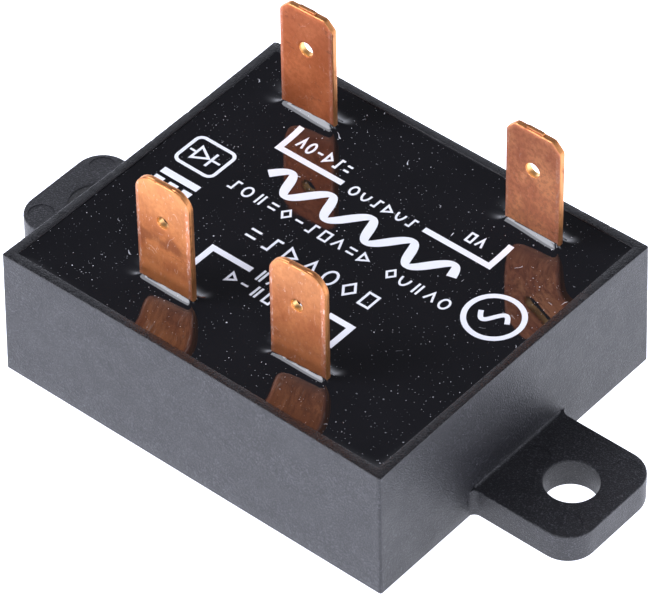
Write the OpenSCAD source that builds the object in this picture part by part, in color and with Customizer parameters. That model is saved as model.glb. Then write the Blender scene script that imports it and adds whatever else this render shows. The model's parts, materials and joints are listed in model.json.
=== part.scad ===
// Solid state relay with four quick-connect blades.
// An open moulded case holds a thyristor pair on a ceramic tile and a small trigger board,
// and is filled to just under its rim with hard epoxy. Origin: centre of the underside.
// +X runs from ear to ear, +Y towards the output blades, +Z up.

/* [Case] */
// Length at the rim, between the two walls that carry the ears
case_l = 45.6; // [45:0.1:55]
// Width at the rim
case_w = 39; // [38.6:0.1:48]
// Height of the case
case_h = 14.6; // [14.4:0.1:18]
// How far each wall leans out at the bottom, for the mould
case_draft = 0.23; // [0.05:0.01:0.4]
// Thickness of the walls at the rim
wall_t = 1.1; // [0.9:0.05:1.3]
// Thickness of the floor
floor_t = 1.6; // [1.5:0.05:1.7]

/* [Mounting ears] */
// Length over the two ears
overall_l = 69.2; // [67:0.1:76]
// Width of an ear
ear_w = 12.9; // [10:0.1:16]
// Thickness of an ear
ear_t = 3.2; // [2:0.1:5]
// Radius of an ear's outer corners
ear_corner_r = 3; // [1:0.1:4]
// Radius of the inside corner where an ear leaves its wall
ear_root_r = 0.8; // [0.2:0.1:1.5]
// Distance between the screw holes
hole_spacing = 58.7; // [57.5:0.1:60]
// Radius of the screw holes
hole_r = 2.65; // [2:0.05:2.8]

/* [Quick-connect blades] */
// Width of a blade, the 0.250 inch series
blade_w = 6.35; // [6.2:0.01:6.4]
// Thickness of a blade
blade_t = 0.81; // [0.75:0.01:0.85]
// Bevel at a blade's two top corners
blade_bevel = 1; // [0.5:0.1:1.5]
// Radius of the detent hole in an output blade
output_detent_r = 0.8; // [0.5:0.05:1.1]
// Radius of the detent hole in an input blade
input_detent_r = 0.65; // [0.5:0.05:1.1]
// Distance from a blade's tip down to its detent hole
detent_drop = 4.6; // [3.5:0.1:5.5]
// Height of the blades' tips above the underside
tip_z = 27.3; // [25:0.05:29]
// Distance between the two output blades
output_spacing = 26.7; // [26:0.1:27]
// Distance between the two input blades
input_spacing = 16; // [15:0.1:17]
// Distance of the output blades from the case's centre line
output_y = 13.85; // [13.6:0.05:14.2]
// Distance of the input blades from the case's centre line
input_y = 12.9; // [12.5:0.1:13.3]

/* [Potting and print] */
// How far the epoxy lies below the rim
potting_drop = 0.4; // [0.2:0.1:1]
// Thickness of the printed legend
print_t = 0.04; // [0.02:0.01:0.1]
// Width of the bracket lines in the legend
bracket_line_w = 0.65; // [0.4:0.05:1]

/* [Power stage] */
// Length of the heat spreader's face on the underside
spreader_l = 34; // [33:0.5:36]
// Width of the heat spreader's face on the underside
spreader_w = 28; // [27:0.5:30]
// Length of the ceramic tile
tile_l = 34; // [34:0.1:35]
// Width of the ceramic tile
tile_w = 24; // [24:0.1:25]
// Thickness of the ceramic tile
tile_t = 0.65; // [0.4:0.05:1]
// Thickness of the copper on the tile
track_t = 0.3; // [0.2:0.05:0.4]
// Side of a thyristor die
die_side = 6; // [5:0.1:6.5]
// Thickness of a thyristor die
die_t = 0.4; // [0.3:0.05:0.5]

/* [Trigger board] */
// Length of the circuit board
board_l = 41; // [40:0.5:42]
// Width of the circuit board
board_w = 26; // [25.5:0.1:26.5]
// Thickness of the circuit board
board_t = 1; // [0.8:0.1:1.2]
// Height of the board's underside above the case's underside
board_z = 7.2; // [7:0.1:7.4]

/* [Hidden] */
$fn = 48;
lead_fn = 16;

// Where each blade really sits: X, Y, tip height and twist in degrees. The blades are set by
// hand in the wet epoxy, so each one is a little off its nominal place.
output_1 = [-output_spacing / 2, output_y - 0.35, tip_z + 0.3, 2];
output_2 = [output_spacing / 2, output_y + 0.35, tip_z - 0.05, 0.3];
input_1 = [-input_spacing / 2, -input_y, tip_z + 0.15, 2];
input_2 = [input_spacing / 2, -input_y, tip_z - 0.4, 3];

potting_z = case_h - potting_drop;
cavity = [case_l - 2 * wall_t, case_w - 2 * wall_t];
ear_x = overall_l / 2;

// Heat spreader: a flange that drops into a rebate in the floor
flange_side = 1;
rebate_z = 0.8;
adhesive_w = 0.5;
spreader = [spreader_l, spreader_w];
flange = [spreader.x + 2 * flange_side, spreader.y + 2 * flange_side];
rebate = [flange.x + 2 * adhesive_w, flange.y + 2 * adhesive_w];

// Power stage, from the floor up
solder_t = 0.1;
solder_margin = 0.5;
tile = [tile_l, tile_w];
tile_y = 2.6;
tile_z = floor_t + solder_t;
track_z = tile_z + tile_t;
pad_z = track_z + track_t;
die_z = pad_z + solder_t;
die_top = die_z + die_t;
die_1 = [-7, 8];
die_2 = [7, 1.5];
clip_t = 0.4;
clip_w = 3;
clip_rise = 1;
clip_reach = 10.5;
gate_pad_1 = [-10.5, 1.8];
gate_pad_2 = [7, -5];
gate_pad_side = 2.6;
gate_wire = 0.4;
gate_corner = 2.4;
gate_pin_r = 0.35;
gate_pin_back = 0.6;

// The two large pads on the tile: how near they come to its edge and to each other, where each
// one begins in Y, and the low corner of the first pad's landing for the second clip
pad_edge = 0.6;
pad_gap = 2;
pad_1_y = 4.2;
pad_2_y = -2.6;
landing = [-6, -0.6];

// Blades: the hidden part of each one
stem_w = 4;
stem_top = 11;
foot_l = 4.5;
input_shoulder = 9.6;
pin_w = 1.2;
pin_gap = 2.4;
pin_tail = 0.9;
nub = [2, 0.45];
output_nub_h = 0.2;
input_nub_h = 0.06;

// Trigger board
board = [board_l, board_w];
board_y = -4;
board_top = board_z + board_t;
rest_w = 2;
rest_y = [-15, 7];
copper_t = 0.1;
lead_r = 0.3;
lead_end = board_z - 1;
land_r = 0.6;
pin_land = [4.8, 2.4];
fillet_h = 0.6;
lead_fillet = [0.4, 0.6];
pin_fillet = [0.8, 1.1];
// Copper runs on the board's underside: centre, then length and width
track_runs = [
    [[-14.5, -12.2], [6, 1.2]],
    [[-19.5, -7.5], [1.2, 10]],
    [[-2, -9.2], [12, 1.2]],
    [[12, -9.2], [12, 1.2]],
    [[-5, 2], [1.2, 5]],
    [[13, 5.5], [10, 1.2]]
];
opto = [6.4, 8.8, 3.4];
opto_at = [1, -1.5];
opto_lift = 0.4;
opto_pitch = 2.54;
opto_lead = [0.5, 0.25];
opto_row = 3.81;
input_resistor_at = [-14.5, -8];
reverse_diode_at = [-14.5, -3.2];
snubber_resistor_at = [13, 2.6];
axial_pitch = 10;
resistor_size = [1.15, 6.3];
diode_size = [1.35, 4.6];
snubber_resistor_size = [1.4, 7];
transistor_at = [-0.7, -12.2];
transistor_r = 2.3;
transistor_flat = 1.4;
transistor_h = 4;
transistor_lift = 0.8;
transistor_pitch = 1.27;
capacitor = [9, 4, 4.4];
capacitor_at = [13.6, -3];
capacitor_pitch = 6;
chip = [3.2, 1.6, 0.6];
chip_cap = 0.5;
chip_places = [[-7, 5.5], [-1, 5.5], [14, -8.2]];

// Printed legend
output_line_y = 8.35;
input_line_y = -6.1;
output_line = [4.95, 13.1, 3.3];
input_line = [4, 8.6, 3.2];
ring_at = [17.4, 3.3];
ring_r = 3.1;
ring_line_w = 0.55;
badge_at = [-17.3, 2.6];
badge = [5.6, 3.6];
badge_line_w = 0.3;
// Rows of bars that stand for printed words: centre Y, length, height and number of bars
bar_rows = [
    [output_line_y, 8, 0.4, 6],
    [5.2, 22, 1.4, 9],
    [1.8, 26, 0.4, 16],
    [-2.3, 15.6, 0.5, 7],
    [input_line_y, 6, 0.4, 5],
    [-8, 9, 0.4, 6]
];
bar_fill = 0.62;

// A cube centred in X and Y on a point, from z up by its height
module slab(size, at = [0, 0], z = 0) {
    translate([at.x, at.y, z])
        linear_extrude(size.z)
            square([size.x, size.y], center = true);
}

// A rectangular frame of even width
module frame_ring(outer, inner, height, z) {
    difference() {
        slab([outer.x, outer.y, height], z = z);
        slab([inner.x, inner.y, height + 2], z = z - 1);
    }
}

// ---- Case ----

module ear_outline() {
    root_x = case_l / 2;
    mid_x = ear_x - ear_corner_r;
    square_len = mid_x - root_x + wall_t;
    translate([root_x - wall_t, -ear_w / 2])
        square([square_len, ear_w]);
    translate([root_x, -ear_w / 2 + ear_corner_r])
        square([ear_x - root_x, ear_w - 2 * ear_corner_r]);
    for (side = [-1, 1])
        translate([mid_x, side * (ear_w / 2 - ear_corner_r)])
            circle(ear_corner_r);
}

// The concave fillet on the +Y side of an ear, in plan
module ear_root() {
    wall_x = case_l / 2 + case_draft * (1 - ear_t / case_h);
    inside_x = case_l / 2 - wall_t / 2;
    difference() {
        translate([inside_x, ear_w / 2])
            square([wall_x + ear_root_r - inside_x, ear_root_r]);
        translate([wall_x + ear_root_r, ear_w / 2 + ear_root_r])
            circle(ear_root_r);
    }
}

module ear() {
    difference() {
        linear_extrude(ear_t) {
            ear_outline();
            ear_root();
            mirror([0, 1])
                ear_root();
        }
        translate([hole_spacing / 2, 0, -1])
            cylinder(r = hole_r, h = ear_t + 2);
    }
}

module case_shell() {
    bottom = [case_l + 2 * case_draft, case_w + 2 * case_draft];
    difference() {
        linear_extrude(case_h, scale = [case_l / bottom.x, case_w / bottom.y], slices = 1)
            square(bottom, center = true);
        slab([cavity.x, cavity.y, case_h], z = floor_t);
        slab([spreader.x, spreader.y, floor_t + 2], z = -1);
        slab([rebate.x, rebate.y, floor_t], z = rebate_z);
    }
}

module case() {
    color("#26262a") {
        case_shell();
        ear();
        mirror([1, 0, 0])
            ear();
        for (side = [-1, 1], y = rest_y)
            slab([rest_w, rest_w, board_z - floor_t],
                 at = [side * (cavity.x / 2 - rest_w / 2), y], z = floor_t);
    }
}

// ---- Blades ----

// The tongue of a blade, from z = low up to its tip, with bevelled corners, its detent hole and
// the stub where it was broken off its strip
module tongue(low, tip, detent_r, nub_h) {
    h = tip - low;
    half = blade_w / 2;
    difference() {
        translate([0, blade_t / 2, low])
            rotate([90, 0, 0])
                linear_extrude(blade_t)
                    polygon([
                        [-half, 0], [half, 0], [half, h - blade_bevel],
                        [half - blade_bevel, h], [blade_bevel - half, h], [-half, h - blade_bevel]
                    ]);
        translate([0, 0, tip - detent_drop])
            rotate([90, 0, 0])
                cylinder(r = detent_r, h = 3 * blade_t, center = true);
    }
    slab([nub.x, nub.y, nub_h], z = tip);
}

module place_blade(place) {
    translate([place.x, place.y, 0])
        rotate(place[3])
            children();
}

module output_blade(place) {
    foot_z = pad_z + solder_t;
    color("#b8754a")
        place_blade(place) {
            tongue(stem_top, place.z, output_detent_r, output_nub_h);
            slab([stem_w, blade_t, stem_top - foot_z], z = foot_z);
            slab([stem_w, foot_l, blade_t], at = [0, blade_t / 2 - foot_l / 2], z = foot_z);
        }
}

module input_pins() {
    for (side = [-1, 1])
        slab([pin_w, blade_t, input_shoulder - board_z + pin_tail],
             at = [side * pin_gap / 2, 0], z = board_z - pin_tail);
}

module input_blade(place) {
    color("#d98a5c")
        place_blade(place) {
            tongue(input_shoulder, place.z, input_detent_r, input_nub_h);
            input_pins();
        }
}

module terminal_output_1() { output_blade(output_1); }
module terminal_output_2() { output_blade(output_2); }
module terminal_input_1() { input_blade(input_1); }
module terminal_input_2() { input_blade(input_2); }

// ---- Power stage ----

module heat_spreader() {
    color("#c8cacc") {
        slab([spreader.x, spreader.y, floor_t]);
        slab([flange.x, flange.y, floor_t - rebate_z], z = rebate_z);
    }
}

module spreader_adhesive() {
    color("#e8e6de")
        frame_ring(rebate, flange, floor_t - rebate_z, rebate_z);
}

module tile_solder() {
    size = tile - [2, 2] * solder_margin;
    color("#b4b6ba")
        slab([size.x, size.y, solder_t], at = [0, tile_y], z = floor_t);
}

module ceramic_tile() {
    color("#f2f0ea")
        slab([tile.x, tile.y, tile_t], at = [0, tile_y], z = tile_z);
}

// A copper pad given by its low and high corners
module pad(low, high) {
    size = high - low;
    slab([size.x, size.y, track_t], at = (low + high) / 2, z = track_z);
}

module tile_tracks() {
    near_x = pad_gap / 2;
    far = [tile.x / 2 - pad_edge, tile_y + tile.y / 2 - pad_edge];
    color("#c8794a") {
        pad([-far.x, pad_1_y], [-near_x, far.y]);
        pad(landing, [-near_x, far.y]);
        pad([near_x, pad_2_y], far);
        for (place = [gate_pad_1, gate_pad_2])
            slab([gate_pad_side, gate_pad_side, track_t], at = place, z = track_z);
    }
}

module die_solder() {
    color("#b4b6ba")
        for (place = [die_1, die_2])
            slab([die_side, die_side, solder_t], at = place, z = pad_z);
}

module die(place) {
    color("#5a6068")
        slab([die_side, die_side, die_t], at = place, z = die_z);
}

module thyristor_1() { die(die_1); }
module thyristor_2() { die(die_2); }

// A strap from the top of one die down to the other pad, which lies towards way * X
module clip(place, way) {
    span_z = die_top + clip_rise;
    start = clip_w / 2 - clip_t;
    end = clip_reach + clip_t / 2;
    color("#cf7d4c") {
        slab([clip_w, clip_w, clip_t], at = place, z = die_top);
        slab([clip_t, clip_w, clip_rise + clip_t],
             at = place + [way * (start + clip_t / 2), 0], z = die_top);
        slab([end - start, clip_w, clip_t],
             at = place + [way * (start + end) / 2, 0], z = span_z);
        slab([clip_t, clip_w, span_z - pad_z + clip_t],
             at = place + [way * clip_reach, 0], z = pad_z);
        slab([clip_w / 2, clip_w, clip_t],
             at = place + [way * (clip_reach + clip_w / 4), 0], z = pad_z);
    }
}

module cathode_clip_1() { clip(die_1, 1); }
module cathode_clip_2() { clip(die_2, -1); }

// A gate strap rises from its pad, crosses to the die and drops onto its corner
module gate_strap(from, to) {
    top = die_top + 2 * gate_wire;
    length = abs(to.y - from.y);
    slab([gate_wire, gate_wire, top - pad_z], at = from, z = pad_z);
    slab([gate_wire, length + gate_wire, gate_wire], at = (from + to) / 2, z = top - gate_wire);
    slab([gate_wire, gate_wire, top - die_top], at = to, z = die_top);
}

module gate_straps() {
    x_1 = die_1.x - gate_corner;
    x_2 = gate_pad_2.x - gate_pad_side / 2 + gate_wire;
    color("#c9ccd0") {
        gate_strap([x_1, gate_pad_1.y], [x_1, die_1.y - gate_corner]);
        gate_strap([x_2, gate_pad_2.y + gate_pin_back], [x_2, die_2.y - gate_corner]);
    }
}

module terminal_solder() {
    color("#b4b6ba")
        for (place = [output_1, output_2])
            place_blade(place)
                slab([stem_w, foot_l, solder_t],
                     at = [0, blade_t / 2 - foot_l / 2], z = pad_z);
}

module gate_pins() {
    color("#c9ccd0")
        for (place = [gate_pad_1, gate_pad_2])
            translate([place.x, place.y - gate_pin_back, pad_z])
                cylinder(r = gate_pin_r, h = board_top - pad_z, $fn = lead_fn);
}

// ---- Trigger board ----

module circuit_board() {
    color("#2f6b3f")
        difference() {
            slab([board.x, board.y, board_t], at = [0, board_y], z = board_z);
            all_leads();
        }
}

// Every place where a round or flat lead passes through the board
function axial_places(at) = [for (side = [-1, 1]) at + [side * axial_pitch / 2, 0]];
lead_places = concat(
    axial_places(input_resistor_at),
    axial_places(reverse_diode_at),
    axial_places(snubber_resistor_at),
    [for (side = [-1, 1]) capacitor_at + [side * capacitor_pitch / 2, 0]],
    [for (step = [-1, 0, 1]) transistor_at + [0, step * transistor_pitch]],
    [for (side = [-1, 1], step = [-1, 0, 1])
        opto_at + [side * (opto_row - opto_lead.y / 2), step * opto_pitch]]
);

module all_leads() {
    component_leads();
    optocoupler_leads();
    gate_pins();
    place_blade(input_1) input_pins();
    place_blade(input_2) input_pins();
}

module board_tracks() {
    z = board_z - copper_t;
    color("#b87333")
        difference() {
            union() {
                for (run = track_runs)
                    slab([run[1].x, run[1].y, copper_t], at = run[0], z = z);
                for (at = lead_places)
                    translate([at.x, at.y, z])
                        cylinder(r = land_r, h = copper_t, $fn = lead_fn);
                for (place = [input_1, input_2])
                    place_blade(place)
                        slab([pin_land.x, pin_land.y, copper_t], z = z);
            }
            all_leads();
        }
}

// Cones of solder under the board, each one around its lead
module board_solder() {
    z = board_z - copper_t - fillet_h;
    color("#b4b6ba")
        difference() {
            union() {
                for (at = lead_places)
                    translate([at.x, at.y, z])
                        cylinder(r1 = lead_fillet[0], r2 = lead_fillet[1], h = fillet_h,
                                 $fn = lead_fn);
                for (place = [input_1, input_2], side = [-1, 1])
                    place_blade(place)
                        translate([side * pin_gap / 2, 0, z])
                            cylinder(r1 = pin_fillet[0], r2 = pin_fillet[1], h = fillet_h,
                                     $fn = lead_fn);
            }
            all_leads();
        }
}

// A small rounded body lying along X on the board
module axial_body(at, size) {
    r = size[0];
    translate([at.x, at.y, board_top + r])
        rotate([0, 90, 0])
            cylinder(r = r, h = size[1], center = true, $fn = 32);
}

// The two bent leads of a part that lies along X
module axial_leads(at, size) {
    z = board_top + size[0];
    for (side = [-1, 1]) {
        run = axial_pitch / 2 - size[1] / 2 + lead_r;
        translate([at.x + side * (size[1] / 2 + run / 2), at.y, z])
            rotate([0, 90, 0])
                cylinder(r = lead_r, h = run, center = true, $fn = lead_fn);
        translate([at.x + side * axial_pitch / 2, at.y, lead_end])
            cylinder(r = lead_r, h = z - lead_end, $fn = lead_fn);
    }
}

module input_resistor() {
    color("#cdb58c")
        axial_body(input_resistor_at, resistor_size);
}

module reverse_diode() {
    color("#2c2c2e")
        axial_body(reverse_diode_at, diode_size);
}

module snubber_resistor() {
    color("#7f9db0")
        axial_body(snubber_resistor_at, snubber_resistor_size);
}

module limiter_transistor() {
    color("#1f1f22")
        translate([transistor_at.x, transistor_at.y, board_top + transistor_lift])
            difference() {
                cylinder(r = transistor_r, h = transistor_h, $fn = 32);
                translate([transistor_flat, -2 * transistor_r, -1])
                    cube([2 * transistor_r, 4 * transistor_r, transistor_h + 2]);
            }
}

module snubber_capacitor() {
    color("#c9a43a")
        slab(capacitor, at = capacitor_at, z = board_top);
}

module component_leads() {
    color("#c9ccd0") {
        axial_leads(input_resistor_at, resistor_size);
        axial_leads(reverse_diode_at, diode_size);
        axial_leads(snubber_resistor_at, snubber_resistor_size);
        for (side = [-1, 1])
            translate([capacitor_at.x + side * capacitor_pitch / 2, capacitor_at.y, lead_end])
                cylinder(r = lead_r, h = board_top - lead_end, $fn = lead_fn);
        for (step = [-1, 0, 1])
            translate([transistor_at.x, transistor_at.y + step * transistor_pitch, lead_end])
                cylinder(r = lead_r, h = board_top + transistor_lift - lead_end, $fn = lead_fn);
    }
}

module optocoupler() {
    color("#1b1b1d")
        slab(opto, at = opto_at, z = board_top + opto_lift);
}

module optocoupler_leads() {
    z = board_top + opto_lift + opto.z / 2;
    run = opto_row - opto.x / 2;
    color("#c9ccd0")
        for (side = [-1, 1], step = [-1, 0, 1]) {
            y = opto_at.y + step * opto_pitch;
            slab([run, opto_lead.x, opto_lead.y],
                 at = [opto_at.x + side * (opto.x / 2 + run / 2), y], z = z);
            slab([opto_lead.y, opto_lead.x, z + opto_lead.y - lead_end],
                 at = [opto_at.x + side * (opto_row - opto_lead.y / 2), y], z = lead_end);
        }
}

module chip_resistors() {
    color("#2a2a2c")
        for (at = chip_places)
            slab([chip.x - 2 * chip_cap, chip.y, chip.z], at = at, z = board_top);
}

module chip_end_caps() {
    color("#c9ccd0")
        for (at = chip_places, side = [-1, 1])
            slab([chip_cap, chip.y, chip.z],
                 at = at + [side * (chip.x - chip_cap) / 2, 0], z = board_top);
}

// ---- Potting and print ----

module inner_pieces() {
    terminal_output_1();
    terminal_output_2();
    terminal_input_1();
    terminal_input_2();
    tile_solder();
    ceramic_tile();
    tile_tracks();
    die_solder();
    thyristor_1();
    thyristor_2();
    cathode_clip_1();
    cathode_clip_2();
    gate_straps();
    terminal_solder();
    gate_pins();
    circuit_board();
    board_tracks();
    board_solder();
    optocoupler();
    optocoupler_leads();
    input_resistor();
    reverse_diode();
    limiter_transistor();
    snubber_resistor();
    snubber_capacitor();
    component_leads();
    chip_resistors();
    chip_end_caps();
}

module potting() {
    color("#141416")
        difference() {
            slab([cavity.x, cavity.y, potting_z - floor_t], z = floor_t);
            for (side = [-1, 1], y = rest_y)
                slab([rest_w, rest_w, board_z - floor_t],
                     at = [side * (cavity.x / 2 - rest_w / 2), y], z = floor_t);
            inner_pieces();
        }
}

// An L-shaped line: a run along X that ends in a turn towards way * Y
module bracket(line, y, side, way) {
    half = bracket_line_w / 2;
    run = line[1] - line[0];
    translate([side * (line[0] + run / 2), y])
        square([run, bracket_line_w], center = true);
    translate([side * (line[1] - half), y + way * line[2] / 2])
        square([bracket_line_w, line[2] + bracket_line_w], center = true);
}

module bar_row(y, length, height, count) {
    pitch = length / count;
    for (i = [0 : count - 1])
        translate([(i - (count - 1) / 2) * pitch, y])
            square([bar_fill * pitch, height], center = true);
}

module ring(at, r, line) {
    translate(at)
        difference() {
            circle(r);
            circle(r - line);
        }
}

module legend_print() {
    color("#f2f3f8")
        translate([0, 0, potting_z])
            linear_extrude(print_t) {
                for (side = [-1, 1]) {
                    bracket(output_line, output_line_y, side, 1);
                    bracket(input_line, input_line_y, side, -1);
                }
                for (row = bar_rows)
                    bar_row(row[0], row[1], row[2], row[3]);
                ring(ring_at, ring_r, ring_line_w);
                translate(badge_at)
                    difference() {
                        square(badge, center = true);
                        square(badge - [2, 2] * badge_line_w, center = true);
                    }
            }
}

case();
potting();
legend_print();
terminal_output_1();
terminal_output_2();
terminal_input_1();
terminal_input_2();
heat_spreader();
spreader_adhesive();
tile_solder();
ceramic_tile();
tile_tracks();
die_solder();
thyristor_1();
thyristor_2();
cathode_clip_1();
cathode_clip_2();
gate_straps();
terminal_solder();
gate_pins();
circuit_board();
board_tracks();
board_solder();
optocoupler();
optocoupler_leads();
input_resistor();
reverse_diode();
limiter_transistor();
snubber_resistor();
snubber_capacitor();
component_leads();
chip_resistors();
chip_end_caps();
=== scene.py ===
"""The looks of a solid state relay with four quick-connect blades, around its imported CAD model.

Shapes are worked out in millimetres and become metres when a piece is finished.
+X runs from ear to ear, +Y towards the output blades, +Z up.
"""

import json
import math

import bmesh
import bpy
from mathutils import Matrix, Vector, geometry, noise


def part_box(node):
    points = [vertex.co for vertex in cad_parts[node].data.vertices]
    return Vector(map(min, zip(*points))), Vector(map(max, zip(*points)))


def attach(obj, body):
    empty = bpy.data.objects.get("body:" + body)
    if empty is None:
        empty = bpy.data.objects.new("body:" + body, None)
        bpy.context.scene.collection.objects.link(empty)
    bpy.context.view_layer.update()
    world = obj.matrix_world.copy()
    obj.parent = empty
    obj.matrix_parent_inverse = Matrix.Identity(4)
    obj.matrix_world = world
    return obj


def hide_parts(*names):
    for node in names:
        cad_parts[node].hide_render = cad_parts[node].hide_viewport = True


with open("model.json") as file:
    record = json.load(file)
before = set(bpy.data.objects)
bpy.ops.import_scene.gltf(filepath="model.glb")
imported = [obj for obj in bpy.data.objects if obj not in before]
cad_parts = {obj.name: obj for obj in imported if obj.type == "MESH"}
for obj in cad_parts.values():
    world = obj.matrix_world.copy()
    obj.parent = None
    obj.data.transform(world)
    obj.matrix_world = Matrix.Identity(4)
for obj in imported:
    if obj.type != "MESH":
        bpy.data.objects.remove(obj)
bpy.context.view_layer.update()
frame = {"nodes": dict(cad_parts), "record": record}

MM = 0.001


def box_mm(node):
    """Lowest and highest corner of a CAD node, in millimetres."""
    low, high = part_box(node)
    return low / MM, high / MM


def mount_mm(name):
    """Place of a mount in the record, in millimetres."""
    mount = next(m for m in frame["record"]["mounts"] if m["name"] == name)
    return Vector(mount["pos_m"]) / MM


# Case
CASE_HIGH = box_mm("case")[1]
POTTING_LOW, POTTING_HIGH = box_mm("potting")
FLANGE = box_mm("heat_spreader")[1].xy
CAVITY = Vector((POTTING_HIGH.x, POTTING_HIGH.y))
WALL = 1.1
RIM = CAVITY + Vector((WALL, WALL))
DRAFT = CASE_HIGH.y - RIM.y
HEIGHT = CASE_HIGH.z
FLOOR = POTTING_LOW.z
REBATE = FLANGE + Vector((0.5, 0.5))
REBATE_Z = 0.8
WINDOW = FLANGE - Vector((1, 1))
CORNER = 0.25
RIM_EDGE = 0.07
EDGE = 0.14
BOW = 0.22
EAR_X = CASE_HIGH.x
EAR_W = 12.9
EAR_T = 3.2
EAR_CORNER = 3
EAR_ROOT = 0.9
EAR_SINK = 0.08
EAR_FILLET = 0.3
BURIED = 0.3
SUNK = 0.03
HOLE_X = mount_mm("screw_hole_right").x
HOLE_R = 2.65
REST_Y = (-15, 7)
REST_SIDE = 2
REST_TOP = 7.2
NICK_RATE = 2.6
NICK_LEVEL = 0.3
NICK_DEPTH = 0.22
EJECTORS = ((32.4, -4.4), (32.4, 4.4), (24.9, 0.4))
EJECTOR_R = 1.35
EJECTOR_DEPTH = 0.04

# Blades. The twist is in degrees. The epoxy rises up each blade by its climb, over a reach that
# shrinks by its lean from the middle of the blade to the right.
BLADES = {
    "output_blade_1": {"twist": 2, "climb": 1.0, "reach": 1.12, "lean": 0.3},
    "output_blade_2": {"twist": 0.3, "climb": 1.02, "reach": 1.15, "lean": 0.26},
    "input_blade_1": {"twist": 2, "climb": 0.74, "reach": 0.94, "lean": 0.24},
    "input_blade_2": {"twist": 3, "climb": 0.74, "reach": 0.94, "lean": 0.22},
}
for name, blade in BLADES.items():
    blade["kind"], _, number = name.split("_")
    blade["node"] = f"terminal_{blade['kind']}_{number}"
    blade["tip"] = mount_mm(f"blade_{blade['kind']}_{number}")
BLADE_W = 6.35
BLADE_T = 0.81
BEVEL = {"output": 1.0, "input": 1.15}
BEVEL_ROUND = {"output": 0.6, "input": 1.8}
DETENT_R = {"output": 0.8, "input": 0.65}
DETENT_DROP = 4.6
NUB_H = {"output": 0.2, "input": 0.06}
COIN = 0.42
GROOVE_AT = 0.12
GROOVE = {"output": 0.004, "input": 0.045}
FLAT = 0.9
# How strongly each kind of blade is painted lighter just above the epoxy, a painted light
BASE_PAINTED_LIGHT = {"output": 0.0, "input": 0.4}
# Colour and strength painted towards each kind of blade's tip: darker on the outputs as painted shade,
# lighter on the inputs as painted light
TIP_PAINTED_TONE = {"output": ((0.26, 0.085, 0.05), 0.35), "input": ((0.95, 0.55, 0.25), 0.2)}
WARP = 0.03
WARP_SIZE = 7
STEM_W = 4
STEM_TOP = 11
FOOT = 4.5
SHOULDER = 9.6
PIN_W = 1.2
PIN_GAP = 2.4

# Epoxy and print. The film lies on the potting. Beside a blade's narrow faces the epoxy climbs
# by a smaller share and reaches further out. Along a wall it climbs most at the corners.
FILM = 0.02
INK = 0.02
CLIMB_DROOP = 0.06
CLIMB_SIDE = 0.62
CLIMB_TURN = 0.3
SIDE_REACH = 1.8
WALL_CLIMB = 0.31
WALL_LENGTH = 1.5
WALL_CALM = 0.45
WALL_FADE = 6
FINEST = 0.07
COARSEST = 0.6
COARSENING = 0.16
RIPPLE = 0.006
RIPPLE_SIZE = 6
SHARP = 0.05
TINY = 1e-4

# The blades' metal: light, dark and stain colour, the seed of the patterns, how grainy and how
# lined it is, and the drop from the tip and half width of a tarnished stripe across it
COPPERS = {
    "output_blade_1": ((0.68, 0.22, 0.088), (0.54, 0.155, 0.056), (0.26, 0.09, 0.05), 3, 0.3, 0.15),
    "output_blade_2": ((0.96, 0.44, 0.215), (0.66, 0.24, 0.13), (0.28, 0.11, 0.07), 21, 0.55, 0.12),
    "input_blade_1": (
        (0.60, 0.22, 0.076), (0.43, 0.132, 0.046), (0.20, 0.065, 0.03), 40, 0.25, 0.4, (7.2, 0.9),
    ),
    "input_blade_2": ((0.52, 0.185, 0.069), (0.37, 0.108, 0.04), (0.16, 0.055, 0.03), 58, 0.3, 0.4),
}
# Metals and other materials of the CAD nodes: two tones, the roughness, the stretch of the marks
# or the size of the grain, and the nodes
METALS = {
    "brushed_nickel": ((0.70, 0.71, 0.73), (0.44, 0.45, 0.48), 0.26, (0.03, 1, 1), "heat_spreader"),
    "soft_solder": (
        (0.66, 0.67, 0.69), (0.42, 0.43, 0.46), 0.32, (1, 1, 1),
        "tile_solder die_solder terminal_solder board_solder",
    ),
    "etched_copper": ((0.86, 0.42, 0.24), (0.62, 0.24, 0.12), 0.28, (1, 1, 1), "tile_tracks board_tracks"),
    "rolled_copper": (
        (0.9, 0.46, 0.27), (0.66, 0.28, 0.15), 0.24, (0.05, 1, 1), "cathode_clip_1 cathode_clip_2",
    ),
    "polished_silicon": (
        (0.22, 0.24, 0.29), (0.13, 0.14, 0.18), 0.12, (1, 1, 1), "thyristor_1 thyristor_2",
    ),
    "tinned_wire": (
        (0.74, 0.75, 0.77), (0.5, 0.51, 0.53), 0.22, (1, 1, 1),
        "gate_straps gate_pins optocoupler_leads component_leads chip_end_caps",
    ),
}
SOLIDS = {
    "white_adhesive": ((0.8, 0.78, 0.72), (0.66, 0.64, 0.58), 0.45, 1.0, "spreader_adhesive"),
    "fired_alumina": ((0.88, 0.87, 0.83), (0.80, 0.79, 0.74), 0.4, 0.5, "ceramic_tile"),
    "moulded_package": (
        (0.03, 0.03, 0.033), (0.016, 0.016, 0.018), 0.42, 0.4, "optocoupler limiter_transistor",
    ),
    "chip_glaze": ((0.02, 0.02, 0.022), (0.012, 0.012, 0.013), 0.2, 0.5, "chip_resistors"),
    "ochre_film_box": ((0.62, 0.36, 0.06), (0.50, 0.27, 0.04), 0.3, 0.8, "snubber_capacitor"),
}
DUST = (0.78, 0.79, 0.84)

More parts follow.
